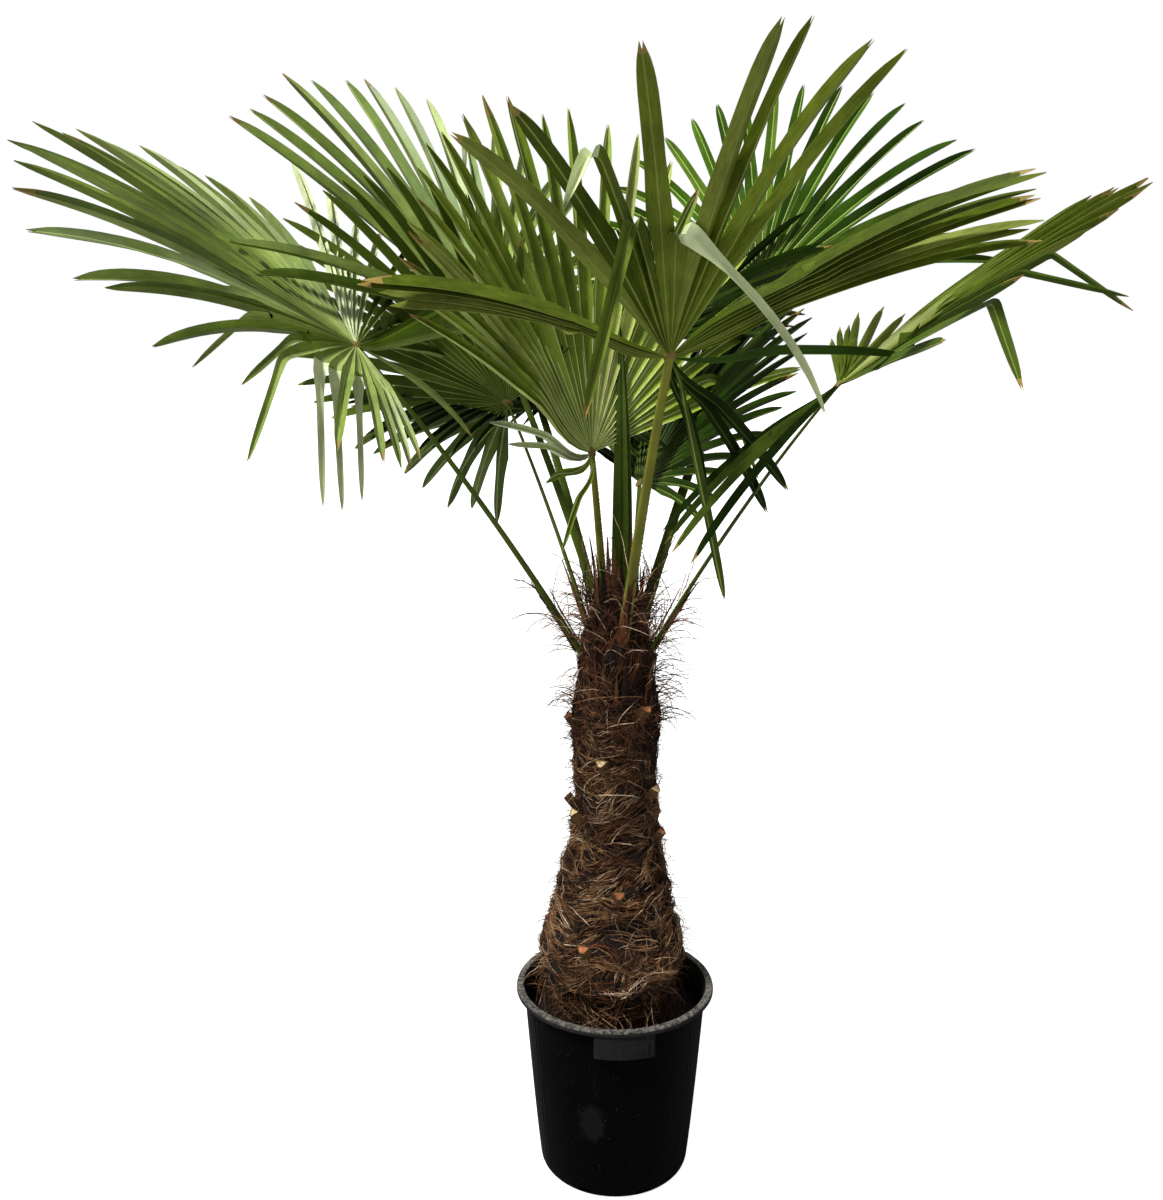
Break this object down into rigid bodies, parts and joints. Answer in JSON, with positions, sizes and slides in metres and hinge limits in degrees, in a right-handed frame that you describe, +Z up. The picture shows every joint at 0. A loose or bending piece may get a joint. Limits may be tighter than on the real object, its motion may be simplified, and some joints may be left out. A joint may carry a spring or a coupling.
{
  "type": "potted windmill palm",
  "caption": "Windmill palm in a round black nursery pot: a fibre-clad trunk with cut leaf stubs and a crown of fan fronds on long stalks.",
  "frame": {"origin": "middle of the pot's flat underside, on the ground", "axes": "+Z up along the trunk; -Y faces the side shown to the viewer, with +X to its right"},
  "size_m": [1.862, 1.7069, 2.3023],
  "materials": {
    "pot_plastic": "matt black moulded plastic, greyer on the rim",
    "soil": "dark crumbly potting soil",
    "trunk_fibre": "matted brown palm fibre with loose hairs",
    "cut_stub": "dry cut leaf base",
    "leaf_stalk": "smooth satin green stalk",
    "fan_leaf": "satin pleated leaf, greyer beneath"
  },
  "bodies": {
    "root": {"pot": "pot_plastic", "soil": "soil", "trunk": "trunk_fibre", "stub_01": "cut_stub", "stub_02": "cut_stub", "stub_03": "cut_stub", "stub_04": "cut_stub", "stub_05": "cut_stub", "stub_06": "cut_stub", "stub_07": "cut_stub", "stub_08": "cut_stub", "stub_09": "cut_stub", "stub_10": "cut_stub", "stub_11": "cut_stub", "stub_12": "cut_stub", "stub_13": "cut_stub", "stub_14": "cut_stub", "petiole_front": "leaf_stalk", "blade_front": "fan_leaf", "petiole_right": "leaf_stalk", "blade_right": "fan_leaf", "petiole_left": "leaf_stalk", "blade_left": "fan_leaf", "petiole_middle": "leaf_stalk", "blade_middle": "fan_leaf", "petiole_back_right": "leaf_stalk", "blade_back_right": "fan_leaf", "petiole_low_left": "leaf_stalk", "blade_low_left": "fan_leaf", "petiole_back_left": "leaf_stalk", "blade_back_left": "fan_leaf", "petiole_low_right": "leaf_stalk", "blade_low_right": "fan_leaf", "petiole_back": "leaf_stalk", "blade_back": "fan_leaf", "petiole_low_back": "leaf_stalk", "blade_low_back": "fan_leaf"}
  },
  "joints": []
}
